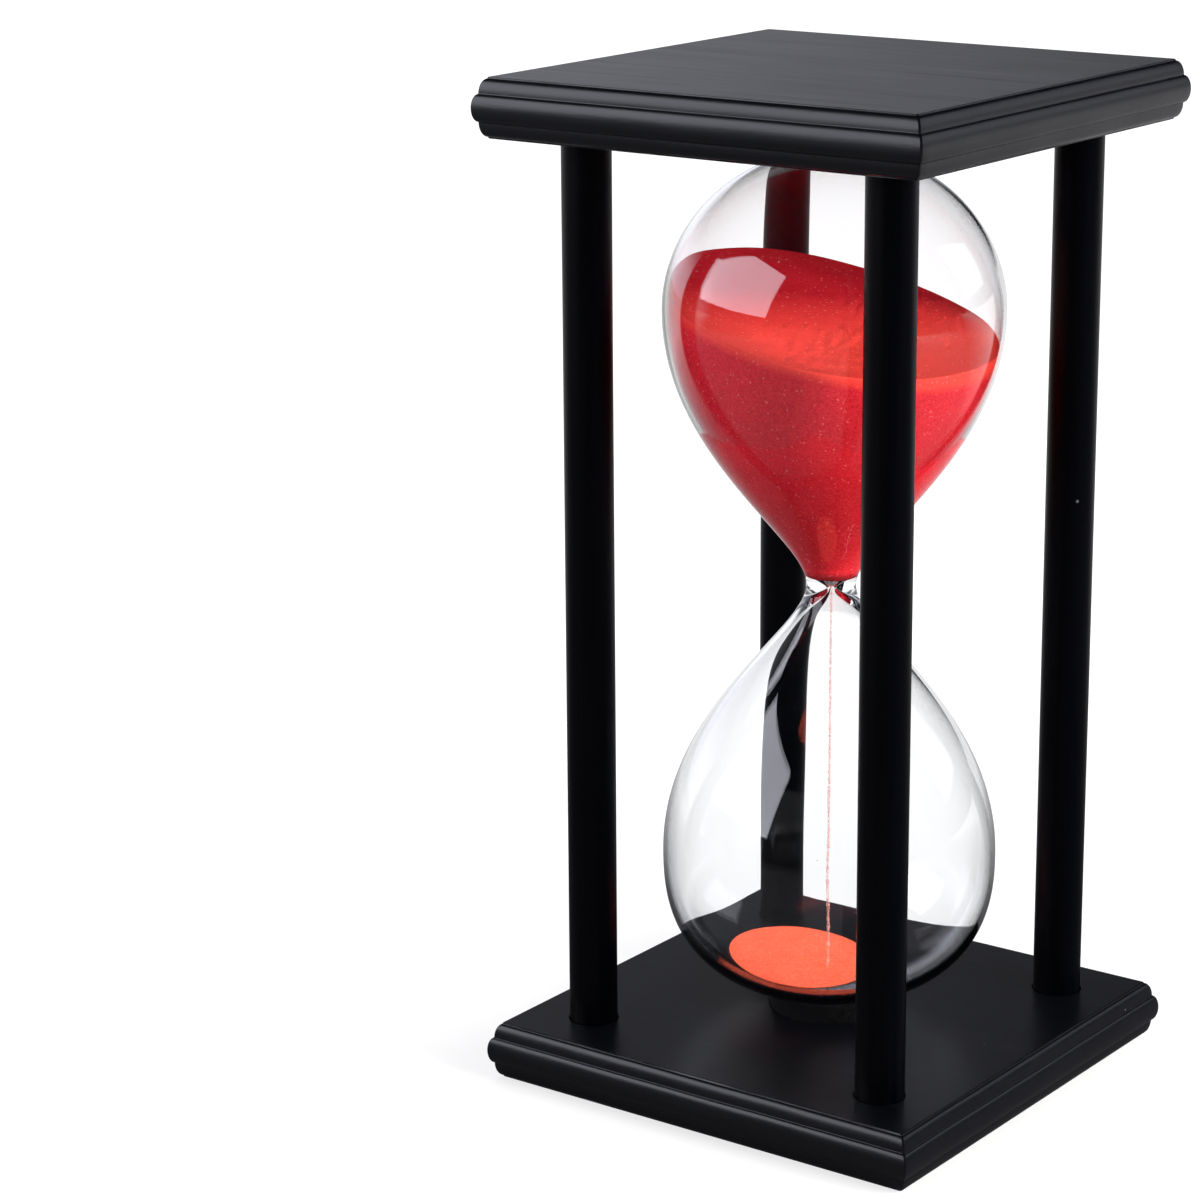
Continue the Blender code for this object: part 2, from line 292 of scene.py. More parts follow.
def square_path(along_side, along_corner):
    """Points once round a square with rounded corners, anticlockwise from +X. It gives
    the place on the square of unit half side, and the outward direction there."""
    step = np.linspace(-1, 1, along_side)
    turn_angle = np.radians(np.linspace(0, 90, along_corner)[1:-1])
    place, outward = [], []
    for quarter in range(4):
        angle = quarter * math.pi / 2
        cosine, sine = math.cos(angle), math.sin(angle)
        spin = np.array([[cosine, sine], [-sine, cosine]])
        side = np.stack([np.ones_like(step), step], axis=1)
        corner = np.ones((len(turn_angle), 2))
        place.append(np.vstack([side, corner]) @ spin)
        ahead = np.repeat([(1.0, 0.0)], len(step), axis=0)
        round_corner = np.stack([np.cos(turn_angle), np.sin(turn_angle)], axis=1)
        outward.append(np.vstack([ahead, round_corner]) @ spin)
    return np.vstack(place), np.vstack(outward)


def plate_grid(top_z):
    """The moulded profile carried round the rounded square. At each profile point the
    square shrinks by the inset, and its corners keep their small radius."""
    profile = moulded_profile()
    place, outward = square_path(along_side=48, along_corner=9)
    half = HALF_SIDE - profile[:, 0]
    radius = np.minimum(CORNER_RADIUS, half)
    flat = place * (half - radius)[:, None, None] + outward * radius[:, None, None]
    height = np.broadcast_to((top_z - profile[:, 1])[:, None, None], flat.shape[:2] + (1,))
    grid = np.concatenate([flat, height], axis=-1)
    wave = ripples(grid[..., 0], grid[..., 1], grid[..., 2], scale=0.03, seed=5)
    edge = (profile[:, 0] < FACE_INSET)[:, None]
    grid[..., :2] *= 1 + (wave * EDGE_WAVE * edge / HALF_SIDE)[..., None]
    return grid


def cut_holes(mesh, rods):
    """Take upright rods out of a mesh, and keep its curved and flat parts crisp. Each
    rod is (x, y, radius, low, high)."""
    body = bpy.data.objects.new("uncut", mesh)
    bpy.context.scene.collection.objects.link(body)
    cutters = []
    for x, y, radius, low, high in rods:
        profile = np.array([(0, high), (radius, high), (radius, low), (0, low)])
        hole = grid_mesh("hole", turned(profile, 72, x, y))
        cutter = bpy.data.objects.new("hole", hole)
        bpy.context.scene.collection.objects.link(cutter)
        cutters.append(cutter)
        boolean = body.modifiers.new("hole", "BOOLEAN")
        boolean.operation = "DIFFERENCE"
        boolean.solver = "EXACT"
        boolean.object = cutter
    graph = bpy.context.evaluated_depsgraph_get()
    result = bpy.data.meshes.new_from_object(body.evaluated_get(graph))
    for spent in (body, *cutters):
        bpy.data.objects.remove(spent)
    result.shade_smooth()
    result.set_sharp_from_angle(angle=math.radians(30))
    return result


def make_plate(name, material):
    """A moulded plate with its blind holes for the posts and the shallow seat."""
    low, high = node_box(name)
    upper = low[2] > NECK_Z
    inward = 1 if upper else -1
    mouth = (low[2] if upper else high[2]) - inward * CUT_OVERSHOOT
    rods = []
    for seated in (*POSTS, "seat_ring_top" if upper else "seat_ring_bottom"):
        rod_low, rod_high = node_box(seated)
        centre = (rod_low + rod_high) / 2
        radius = (rod_high[0] - rod_low[0]) / 2 + SOCKET_CLEARANCE
        end = (rod_high[2] if upper else rod_low[2]) + inward * SOCKET_CLEARANCE
        rods.append((centre[0], centre[1], radius, *sorted((mouth, end))))
    mesh = cut_holes(grid_mesh(name, plate_grid(high[2])), rods)
    show_piece(name + "_moulded", mesh, material, name)


def post_grid(name):
    """A dowel: a circle carried down, with its ends eased. The radius wavers by a few
    hundredths of a millimetre along and round it, as on a sanded and painted rod."""
    low, high = node_box(name)
    centre = (low + high) / 2
    radius = (high[0] - low[0]) / 2
    inset, roof, floor = radius - POST_EASE, high[2] - POST_EASE, low[2] + POST_EASE
    head = arc((inset, roof), (POST_EASE, POST_EASE), 90, 0, 6)
    foot = arc((inset, floor), (POST_EASE, POST_EASE), 0, -90, 6)
    shaft = np.linspace(roof, floor, 90)[1:-1]
    side = np.stack([np.full_like(shaft, radius), shaft], axis=1)
    profile = np.vstack([[(0, high[2])], head, side, foot, [(0, low[2])]])
    grid = turned(profile, 96)
    x, y, z = grid[..., 0], grid[..., 1], grid[..., 2]
    flutes = ripples(x, y, z * 0.04, scale=0.006, seed=11)
    swell = ripples(x * 0.3, y * 0.3, z, scale=0.07, seed=12)
    grid[..., :2] *= 1 + ((flutes * POST_FLUTES + swell * POST_SWELL) / radius)[..., None]
    grid[..., :2] += centre[:2]
    return grid


# ---- glass ------------------------------------------------------------------------


def outer_taper(t):
    """The glass between neck (t = 0) and widest line (t = 1), and its slopes.

    A cubic curve that is upright at both ends: with N = NECK_RADIUS, S the span to the
    bulb's radius, H the height of the widest line and a and b the handles' shares of
    it, the radius is N + S (3 t^2 - 2 t^3), and the height over the neck is
    H (3 a t (1 - t)^2 + 3 (1 - b) t^2 (1 - t) + t^3). It gives both, then their rates
    of change with t.
    """
    first = NECK_HANDLE_SHARE * EQUATOR_HEIGHT
    second = (1 - BULB_HANDLE_SHARE) * EQUATOR_HEIGHT
    rest = 1 - t
    span = BULB_RADIUS - NECK_RADIUS
    radius = NECK_RADIUS + span * (3 * t**2 - 2 * t**3)
    height = 3 * first * t * rest**2 + 3 * second * t**2 * rest + EQUATOR_HEIGHT * t**3
    radius_rate = span * 6 * t * rest
    height_rate = (
        3 * first * rest * (rest - 2 * t)
        + 3 * second * t * (2 * rest - t)
        + 3 * EQUATOR_HEIGHT * t**2
    )
    return radius, height, radius_rate, height_rate


def rounded_end(end, depth, end_radius, count, base=None):
    """(radius, height) points from the widest line to the bulb's end: a superellipse,
    radius = R cos(a)^(2/n) and height = E + B sin(a)^(2/n), for angles a from 0. The
    depth is taken off R, and the base, if it is given, off B."""
    end_rise, roundness = end
    base = depth if base is None else base
    wide = BULB_RADIUS - depth
    last = math.acos((end_radius / wide) ** (roundness / 2))
    angle = crowded(count, 1.15) * last
    radius = wide * np.abs(np.cos(angle)) ** (2 / roundness)
    height = EQUATOR_HEIGHT + (end_rise - base) * np.sin(angle) ** (2 / roundness)
    radius[-1] = end_radius
    return np.stack([radius, height], axis=1)


def bulb_outside(end, end_radius):
    """(radius, height) points from the neck up the outside of a bulb to its end."""
    radius, height, _, _ = outer_taper(np.linspace(0, 1, 70))
    taper = np.stack([radius, height], axis=1)
    return np.vstack([taper, rounded_end(end, 0.0, end_radius, END_ROWS)[1:]])


def inner_taper(extra):
    """(radius, height) points up the inside of the wall from the orifice's level to
    the widest line, an extra depth under the glass. The wall thins from neck to bulb."""
    t = np.linspace(0, 1, 4000)
    radius, height, radius_rate, height_rate = outer_taper(t)
    depth = BULB_WALL + (NECK_WALL - BULB_WALL) * (1 - t) ** 2 + extra
    length = np.hypot(radius_rate, height_rate)
    return radius - depth * height_rate / length, height + depth * radius_rate / length


def glass_inside(end, end_radius, base):
    """(radius, height) points up the inside of a bulb from the middle of the orifice.

    Near the neck the wall is drawn in to the orifice: a cone c = sqrt(b^2 + (s h)^2),
    for bore radius b, slope s and height h. It is joined to the taper w by a soft
    minimum of the two, w (1 + (w / c)^n)^(-1/n), which is sharper for a larger n.
    """
    taper_radius, taper_height = inner_taper(0.0)
    height = crowded(110, 1.6) * EQUATOR_HEIGHT
    wall = np.interp(height, taper_height, taper_radius)
    cone = np.hypot(BORE_RADIUS, FUNNEL_SLOPE * height)
    radius = wall * (1 + (wall / cone) ** FUNNEL_SHARPNESS) ** (-1 / FUNNEL_SHARPNESS)
    radius[-1] = BULB_RADIUS - BULB_WALL
    cap = rounded_end(end, BULB_WALL, end_radius, END_ROWS, base)
    return np.vstack([np.stack([radius, height], axis=1), cap[1:]])


def sand_inside(end):
    """(radius, height) points up the outline that sand takes in a bulb: a round foot,
    a quarter ellipse, and then the inside of the glass less a clearance."""
    radius, height = inner_taper(SAND_CLEARANCE)
    joint = np.argmax(height > UPPER_SAND_FOOT + FOOT_RISE)
    foot_radii = (radius[joint], height[joint] - UPPER_SAND_FOOT)
    foot = arc((0.0, height[joint]), foot_radii, -90, 0, 18)
    steps = np.linspace(joint, len(radius) - 1, 62).round().astype(int)[1:]
    taper = np.stack([radius[steps], height[steps]], axis=1)
    cap = rounded_end(end, BULB_WALL + SAND_CLEARANCE, 0.0, END_ROWS)
    return np.vstack([foot, taper, cap[1:]])


def mirrored(points):
    """The same outline for the bulb under the neck."""
    return points * (1, -1)


def glass_grid():
    """The wall's profile turned round the axis: up the inside from the lower end,
    through the orifice, over the fill hole's lip and down the outside. Slow ripples
    move each point by a few hundredths of a millimetre, as blown glass has."""
    inside_below = mirrored(glass_inside(LOWER_END, 0.0, BASE_WALL))[::-1]
    inside_above = glass_inside(UPPER_END, FILL_HOLE_RADIUS, BULB_WALL)[1:]
    outside_above = bulb_outside(UPPER_END, FILL_HOLE_RADIUS)[::-1]
    outside_below = mirrored(bulb_outside(LOWER_END, 0.0))[1:]
    profile = np.vstack([inside_below, inside_above, outside_above, outside_below])
    profile[:, 1] += NECK_Z
    grid = turned(profile, 160)
    inner = np.arange(len(profile)) < len(inside_below) + len(inside_above)
    x, y, z = grid[..., 0], grid[..., 1], grid[..., 2]
    shell = ripples(x, y, z, scale=0.045, seed=21) * SHELL_WAVE
    lining = ripples(x, y, z * 0.5, scale=0.018, seed=22) * LINING_WAVE
    move = np.where(inner[:, None], shell + lining, shell)
    move *= np.clip(profile[:, 0] / BULB_RADIUS, 0, 1)[:, None]
    grid[..., :2] *= 1 + (move / BULB_RADIUS)[..., None]
    return grid


# ---- sand -------------------------------------------------------------------------


def sand_grid(wall, surface, steps, top_rows, side_rows, grain):
    """Sand in a turned hollow: a fan of rows from the axis out over the surface to the
    wall, then rows down the wall to its lowest point.

    The wall is (radius, height) points going up from the axis, and surface gives the
    height at (x, y). In each direction the rim is where the wall first passes the
    surface. Grain is the height of the surface's unevenness, a sum of three sizes of
    ripple that fades out over the last twelfth of the way to the wall.
    """
    angle = np.linspace(0, math.tau, steps, endpoint=False)
    cosine, sine = np.cos(angle), np.sin(angle)
    run = np.concatenate([[0], np.cumsum(np.hypot(*np.diff(wall, axis=0).T))])
    dense = np.linspace(0, run[-1], WALL_SAMPLES)
    radius = np.interp(dense, run, wall[:, 0])
    height = np.interp(dense, run, wall[:, 1])
    over_wall = surface(radius[:, None] * cosine, radius[:, None] * sine)
    rim = dense[np.argmax(height[:, None] > over_wall, axis=0)]
    rim_radius = np.interp(rim, dense, radius)

    share = np.sqrt(np.linspace(0, 1, top_rows + 1))[:-1, None]
    x = share * rim_radius * cosine
    y = share * rim_radius * sine
    drifts = ripples(x, y, 0, scale=0.011, seed=31) * 1.1
    dimples = ripples(x, y, 0, scale=0.0032, seed=32) * 0.55
    loose = ripples(x, y, 0, scale=0.0012, seed=33, waves=24) * 0.5
    off_wall = np.clip((1 - share) * 12, 0, 1)
    z = surface(x, y) + grain * off_wall * (drifts + dimples + loose) * (share > 0)
    top = np.stack([x, y, z], axis=-1)

    down = np.linspace(1, 0, side_rows + 1)[:, None] * rim
    side_radius = np.interp(down, dense, radius)
    side_height = np.interp(down, dense, height)
    side = np.stack([side_radius * cosine, side_radius * sine, side_height], axis=-1)
    side[-1, :, :2] = 0
    return np.concatenate([top, side])


def upper_surface(x, y):
    """A plane that slopes down towards +X, hollowed where the sand sinks. The hollow is
    a u^2 + b u v + c v^2, for distances u along its direction and v across it, both
    as shares of the bulb's radius."""
    cosine, sine = DISH_DIRECTION
    along = (cosine * x + sine * y) / BULB_RADIUS
    across = (cosine * y - sine * x) / BULB_RADIUS
    slope_x, slope_y = UPPER_SAND_SLOPE
    first, mixed, second = UPPER_SAND_DISH
    hollow = first * along**2 + mixed * along * across + second * across**2
    return NECK_Z + UPPER_SAND_HEIGHT + slope_x * x + slope_y * y + hollow


def lower_surface(x, y):
    """A gentler plane in the lower end, sloping down towards +X."""
    tip = NECK_Z - EQUATOR_HEIGHT - LOWER_END[0] + BASE_WALL + SAND_CLEARANCE
    return tip + LOWER_SAND_DEPTH - math.tan(LOWER_SAND_TILT) * x


def upper_sand_grid():
    """The sand still to run, on the inside of the upper bulb."""
    wall = sand_inside(UPPER_END)
    wall[:, 1] += NECK_Z
    return sand_grid(wall, upper_surface, 300, 120, 110, UPPER_SAND_GRAIN)


def lower_sand_grid():
    """The pool in the rounded end of the lower bulb."""
    side, base = BULB_WALL + SAND_CLEARANCE, BASE_WALL + SAND_CLEARANCE
    cap = mirrored(rounded_end(LOWER_END, side, 0.0, 90, base))[::-1]
    cap[:, 1] += NECK_Z
    return sand_grid(cap, lower_surface, 240, 90, 24, LOWER_SAND_GRAIN)


def stream_grid():
    """The falling thread: a circle carried down, whose radius and place waver as the
    grains spread on their way."""
    start = NECK_Z + UPPER_SAND_FOOT
    landing = node_box("sand_stream")[0][2]
    z = np.linspace(start, landing, 420)
    fall = (start - z) / (start - landing)
    waver = ripples(z, 0, 0, scale=0.0011, seed=41)
    radius = THREAD_RADIUS + THREAD_SPREAD * fall + THREAD_WAVER * waver
    radius = np.clip(radius, *THREAD_LIMITS)
    radius[0] = radius[-1] = 0
    grid = turned(np.stack([radius, z], axis=1), 12)
    sway = ripples(z, 0, 0, scale=0.02, seed=42) * THREAD_SWAY * fall
    grid[..., 0] += sway[:, None]
    return grid


# ---- stopper and seats ------------------------------------------------------------


def stopper_grid():
    """A tapered plug with eased ends, turned."""
    low, high = node_box("fill_stopper")
    wide, narrow = high[0], high[0] - STOPPER_TAPER
    outline = np.array([(0, high[2]), (wide, high[2]), (narrow, low[2]), (0, low[2])])
    return turned(softened(outline, RUBBER_SPACING, STOPPER_EASE), 64)


def seat_grid(name):
    """A soft ring: a rectangle with eased corners, turned. The line starts on the bore,
    20 samples before its upper corner, so that all four corners are eased."""
    low, high = node_box(name)
    bore, rim = SEAT_BORE, high[0]
    corners = [(bore, high[2]), (rim, high[2]), (rim, low[2]), (bore, low[2])]
    outline = evenly(np.array([*corners, corners[0]]), RUBBER_SPACING)
    line = softened(np.roll(outline[:-1], 20, axis=0), RUBBER_SPACING, SEAT_EASE)
    return turned(line, 120)


# ---- materials --------------------------------------------------------------------

# Painted glint: the lighter tint that a few sand grains take, where their facets would catch the
# light.
PAINTED_GLINT_TINT = (1.0, 0.42, 0.36)
# Painted shade and painted light for the top of the upper sand: deeper red at the far left,
# brighter and warmer red at the near right.
PAINTED_SHADE_SAND_TINT = (0.26, 0.003, 0.008)
PAINTED_LIGHT_SAND_TINT = (1.0, 0.085, 0.05)
DUST_ON_PAINT = (0.2, 0.21, 0.23)
DUST_ON_RUBBER = (0.05, 0.05, 0.05)
FLOAT, VECTOR = "NodeSocketFloat", "NodeSocketVector"


def feed(tree, socket, value):
    """Link an output to a socket, or give the socket a plain value."""
    if isinstance(value, bpy.types.NodeSocket):
        tree.links.new(value, socket)
    else:
        socket.default_value = value


def fill_in(tree, node, **values):
    """Feed a node's inputs by name, with underscores for the names' spaces."""
    for key, value in values.items():
        feed(tree, node.inputs[key.replace("_", " ")], value)


def add_node(tree, kind, **values):
    """A shader node with its settings and inputs. The first input is also i0, the
    second i1 and so on."""
    node = tree.nodes.new(kind)
    for key, value in values.items():
        if key in node.bl_rna.properties:
            setattr(node, key, value)
        elif key[0] == "i" and key[1:].isdigit():
            feed(tree, node.inputs[int(key[1:])], value)
        else:
            fill_in(tree, node, **{key: value})
    return node


def calc(tree, operation, first, second):
    """A Math node's result."""
    return add_node(tree, "ShaderNodeMath", operation=operation, i0=first, i1=second).outputs[0]


def plus(tree, first, second):
    """A sum."""
    return calc(tree, "ADD", first, second)


def times(tree, first, second):
    """A product."""
    return calc(tree, "MULTIPLY", first, second)


def stretched(tree, place, factors):
    """Places multiplied along each axis. A small factor makes a pattern longer there."""
    node = add_node(tree, "ShaderNodeVectorMath", operation="MULTIPLY", i0=place, i1=factors)
    return node.outputs[0]


def distance_along(tree, place, direction):
    """How far places lie along a direction: their dot product with it."""
    node = add_node(tree, "ShaderNodeVectorMath", operation="DOT_PRODUCT", i0=place, i1=direction)
    return node.outputs["Value"]


def noise(tree, place, per_metre, detail, roughness=0.5):
    """Smooth noise between 0 and 1, mostly near 0.5."""
    node = add_node(tree, "ShaderNodeTexNoise", Vector=place, Scale=per_metre, Detail=detail)
    fill_in(tree, node, Roughness=roughness)
    return node.outputs[0]


def cell_pattern(tree, place, per_metre):
    """A Voronoi pattern: the distance from each cell's middle, and three random
    numbers for each cell."""
    cells = add_node(tree, "ShaderNodeTexVoronoi", Vector=place, Scale=per_metre).outputs
    chances = add_node(tree, "ShaderNodeSeparateColor", i0=cells["Color"]).outputs
    return cells["Distance"], chances


def mix(tree, factor, first, second):
    """A mix of two numbers by a factor."""
    return add_node(tree, "ShaderNodeMix", i0=factor, i2=first, i3=second).outputs[0]


def blend(tree, factor, first, second):
    """A mix of two colours by a factor. A plain colour is (red, green, blue)."""
    node = add_node(tree, "ShaderNodeMix", data_type="RGBA", i0=factor)
    for socket, colour in ((node.inputs[6], first), (node.inputs[7], second)):
        feed(tree, socket, (*colour, 1.0) if isinstance(colour, tuple) else colour)
    return node.outputs[2]


def ramp(tree, value, *stops):
    """A value carried through straight lines between (place, result) stops."""
    node = tree.nodes.new("ShaderNodeValToRGB")
    elements = node.color_ramp.elements
    for element, (place, result) in zip(elements, stops, strict=True):
        element.position = place
        element.color = (result, result, result, 1.0)
    tree.links.new(value, node.inputs[0])
    return node.outputs[0]


def add_relief(tree, shader, height, strength, distance):
    """Bump a surface by a height."""
    node = add_node(tree, "ShaderNodeBump", Strength=strength, Distance=distance, Height=height)
    fill_in(tree, shader, Normal=node.outputs[0])


def new_group(name, inputs, outputs):
    """A shader node group with named inputs, given as (kind, name, default), and
    outputs, given as names of numbers."""
    tree = bpy.data.node_groups.new(name, "ShaderNodeTree")
    for kind, label, default in inputs:
        socket = tree.interface.new_socket(name=label, in_out="INPUT", socket_type=kind)
        if default is not None:
            socket.default_value = default
    for label in outputs:
        tree.interface.new_socket(name=label, in_out="OUTPUT", socket_type=FLOAT)
    given = tree.nodes.new("NodeGroupInput").outputs
    result = tree.nodes.new("NodeGroupOutput")
    return tree, given, result


def use_group(tree, group, **values):
    """Place a node group and give it its values."""
    node = tree.nodes.new("ShaderNodeGroup")
    node.node_tree = group
    fill_in(tree, node, **values)
    return node.outputs


def wood_grain_group():
    """Grain that shows through paint: noise stretched along Z into long streaks, and
    finer noise stretched less for the pores between them."""
    tree, given, result = new_group(
        "grain_under_paint",
        [
            (VECTOR, "Vector", None),
            (FLOAT, "Streaks per Metre", 500.0),
            (FLOAT, "Pore Share", 0.35),
        ],
        ["Height", "Tone"],
    )
    place, per_metre = given["Vector"], given["Streaks per Metre"]
    streaks = noise(tree, stretched(tree, place, (1.0, 1.0, 0.03)), per_metre, 4.0, 0.6)
    pores_per_metre = times(tree, per_metre, 4.0)
    pores = noise(tree, stretched(tree, place, (1.0, 1.0, 0.12)), pores_per_metre, 2.0)
    deep = times(tree, ramp(tree, pores, (0.55, 0.0), (0.7, 1.0)), given["Pore Share"])
    height = calc(tree, "SUBTRACT", streaks, deep)
    tone = ramp(tree, streaks, (0.35, 0.0), (0.7, 1.0))
    fill_in(tree, result, Height=height, Tone=tone)
    return tree


def specks_group():
    """Scattered dust and nicks: cells of a Voronoi pattern, where only the few with a
    high random number show a spot at their middle."""
    tree, given, result = new_group(
        "specks",
        [
            (VECTOR, "Vector", None),
            (FLOAT, "Cells per Metre", 250.0),
            (FLOAT, "Rarity", 0.96),
            (FLOAT, "Spot Size", 0.1),
        ],
        ["Mask"],
    )
    distance, chances = cell_pattern(tree, given["Vector"], given["Cells per Metre"])
    chosen = calc(tree, "GREATER_THAN", chances[0], given["Rarity"])
    spot = calc(tree, "LESS_THAN", distance, given["Spot Size"])
    fill_in(tree, result, Mask=times(tree, chosen, spot))
    return tree


def grains_group():
    """Sand grains: a fine Voronoi pattern gives each grain its own tone and a dome of
    height, and marks a few grains as facets, which get a painted glint."""
    tree, given, result = new_group(
        "sand_grains",
        [(VECTOR, "Vector", None), (FLOAT, "Grains per Metre", 2600.0)],
        ["Tone", "Height", "Facets"],
    )
    distance, chances = cell_pattern(tree, given["Vector"], given["Grains per Metre"])
    dome = calc(tree, "SUBTRACT", 1.0, distance)
    facets = calc(tree, "GREATER_THAN", chances[1], 0.985)
    fill_in(tree, result, Tone=chances[0], Height=dome, Facets=facets)
    return tree


wood_grain = wood_grain_group()
specks = specks_group()
sand_grains = grains_group()


def dust(tree, place, per_metre, rarity, size):
    """Where a surface's dust lies, from the group of specks with its own values."""
    values = {"Cells_per_Metre": per_metre, "Rarity": rarity, "Spot_Size": size}
    return use_group(tree, specks, Vector=place, **values)["Mask"]


def new_material(name):
    """A material with a Principled shader, its tree and its Object coordinates."""
    material = bpy.data.materials.new(name)
    material.use_nodes = True
    tree = material.node_tree
    shader = tree.nodes["Principled BSDF"]
    place = tree.nodes.new("ShaderNodeTexCoord").outputs["Object"]
    return material, tree, shader, place


def painted_wood(name, turn, base, sheen_tone, roughness, specular, streaks, bump):
    """Satin black paint over close-grained wood. The grain runs along the piece: turn
    is the rotation that brings its length onto Z."""
    material, tree, shader, place = new_material(name)
    lengthwise = add_node(tree, "ShaderNodeMapping", Vector=place, Rotation=turn).outputs[0]
    grain = use_group(tree, wood_grain, Vector=lengthwise, Streaks_per_Metre=streaks)
    dusty = dust(tree, place, 150.0, 0.972, 0.055)
    cloud = ramp(tree, noise(tree, place, 28.0, 3.0), (0.3, 0.4), (0.7, 1.0))
    tone = times(tree, grain["Tone"], cloud)
    colour = blend(tree, tone, base, sheen_tone)
    colour = blend(tree, times(tree, dusty, 0.3), colour, DUST_ON_PAINT)
    rough = plus(tree, roughness - 0.02, times(tree, tone, 0.06))
    fill_in(tree, shader, Base_Color=colour, Roughness=rough, Specular_IOR_Level=specular)
    height = plus(tree, grain["Height"], times(tree, dusty, 0.8))
    add_relief(tree, shader, height, strength=bump, distance=0.0001)
    return material


def sand_material(name, dark, light, dry):
    """Dyed red sand. Grains differ in tone, patches in depth of colour, and a few
    facets get a painted glint, a lighter tint in their colour. The top of the upper
    sand has painted shade at its far left, a deeper red, and painted light at its
    near right, brighter and warmer: a tint for each side, which fades out over the
    first 2.2 mm under the surface's plane."""
    material, tree, shader, place = new_material(name)
    grains = use_group(tree, sand_grains, Vector=place, Grains_per_Metre=2600.0)
    patches = noise(tree, place, 90.0, 3.0)
    tone = plus(tree, times(tree, grains["Tone"], 0.6), times(tree, patches, 0.4))
    colour = blend(tree, tone, dark, light)
    # Painted light and shade on the top of the upper sand: deeper red at the far left, brighter
    # and warmer red at the near right, fixed to the object.
    slope_x, slope_y = UPPER_SAND_SLOPE
    lifted = distance_along(tree, place, (-slope_x, -slope_y, 1.0))
    below = calc(tree, "SUBTRACT", NECK_Z + UPPER_SAND_HEIGHT, lifted)
    on_top = ramp(tree, times(tree, below, 100.0), (0.0, 1.0), (0.22, 0.0))
    towards_painted_light = plus(tree, distance_along(tree, place, (10.5, -6.0, 0.0)), 0.5)
    near = ramp(tree, towards_painted_light, (0.32, 0.0), (0.66, 1.0))
    far = calc(tree, "SUBTRACT", 1.0, near)
    for side, share, tint in ((far, 0.5, PAINTED_SHADE_SAND_TINT), (near, 0.55, PAINTED_LIGHT_SAND_TINT)):
        colour = blend(tree, times(tree, times(tree, on_top, side), share), colour, tint)
    # Painted glint: a few grains are tinted lighter, where their facets would catch the light.
    colour = blend(tree, times(tree, grains["Facets"], 0.2), colour, PAINTED_GLINT_TINT)
    rough = calc(tree, "SUBTRACT", dry, times(tree, grains["Facets"], 0.5))
    fill_in(tree, shader, Base_Color=colour, Roughness=rough, Specular_IOR_Level=0.0)
    add_relief(tree, shader, grains["Height"], strength=0.25, distance=0.0002)
    return material


def falling_sand_material():
    """Grains in the air: the red sand's colour, with gaps between the grains."""
    material, tree, shader, place = new_material("falling_grains")
    tone = use_group(tree, sand_grains, Vector=place, Grains_per_Metre=2400.0)["Tone"]
    colour = blend(tree, tone, (0.50, 0.12, 0.10), (0.75, 0.40, 0.34))
    rough = plus(tree, 0.7, times(tree, tone, 0.2))
    cover = ramp(tree, tone, (0.2, 0.1), (0.8, 0.6))
    fill_in(tree, shader, Base_Color=colour, Roughness=rough, Alpha=cover)
    return material


def glass_material():
    """Clear blown glass: a trace of grease in the roughness and a slow wave of the
    surface. Lamps shine through it, so that the sand inside is lit."""
    material, tree, shader, place = new_material("blown_glass")
    clear = (0.985, 0.992, 1.0, 1.0)
    fill_in(tree, shader, Base_Color=clear, IOR=1.5, Transmission_Weight=1.0)
    dusty = dust(tree, place, 260.0, 0.975, 0.05)
    film = ramp(tree, noise(tree, place, 45.0, 4.0, 0.65), (0.5, 0.0), (0.8, 0.05))
    fill_in(tree, shader, Roughness=plus(tree, film, times(tree, dusty, 0.5)))
    wave = noise(tree, stretched(tree, place, (1.0, 1.0, 0.4)), 38.0, 1.0)
    height = plus(tree, wave, times(tree, dusty, 0.15))
    add_relief(tree, shader, height, strength=0.06, distance=0.0006)
    tint = (0.96, 0.97, 0.97, 1.0)
    shade = add_node(tree, "ShaderNodeBsdfTransparent", Color=tint).outputs[0]
    in_shadow = tree.nodes.new("ShaderNodeLightPath").outputs["Is Shadow Ray"]
    both = add_node(tree, "ShaderNodeMixShader", i0=in_shadow, i1=shader.outputs[0], i2=shade)
    fill_in(tree, tree.nodes["Material Output"], Surface=both.outputs[0])
    return material


def rubber_material():
    """Black moulded rubber with a faint pebbled skin and dust in it."""
    material, tree, shader, place = new_material("moulded_rubber")
    skin = noise(tree, place, 1400.0, 3.0)
    dusty = dust(tree, place, 420.0, 0.94, 0.12)
    pebbles = ramp(tree, skin, (0.35, 0.0), (0.7, 1.0))
    colour = blend(tree, pebbles, (0.0012, 0.0012, 0.0014), (0.004, 0.004, 0.0045))
    colour = blend(tree, times(tree, dusty, 0.3), colour, DUST_ON_RUBBER)
    rough = ramp(tree, skin, (0.3, 0.72), (0.7, 0.92))
    fill_in(tree, shader, Base_Color=colour, Roughness=rough, Specular_IOR_Level=0.15)
    add_relief(tree, shader, skin, strength=0.3, distance=0.0001)
    return material


ALONG_X = (0.0, math.radians(90), 0.0)
UPRIGHT = (0.0, 0.0, 0.0)
plate_paint = painted_wood(
    "plate_paint", ALONG_X, (0.0012, 0.0014, 0.0024), (0.0026, 0.0029, 0.0045),
    roughness=0.33, specular=0.45, streaks=420.0, bump=0.16,
)
# The posts take the plates' black paint with darker colours: painted shade.
shaded_post_paint = painted_wood(
    "shaded_post_paint", UPRIGHT, (0.0002, 0.0003, 0.0008), (0.0007, 0.0008, 0.0015),
    roughness=0.36, specular=0.10, streaks=600.0, bump=0.3,
)
red_sand = sand_material("dyed_sand", (0.48, 0.010, 0.020), (0.74, 0.034, 0.046), 0.85)
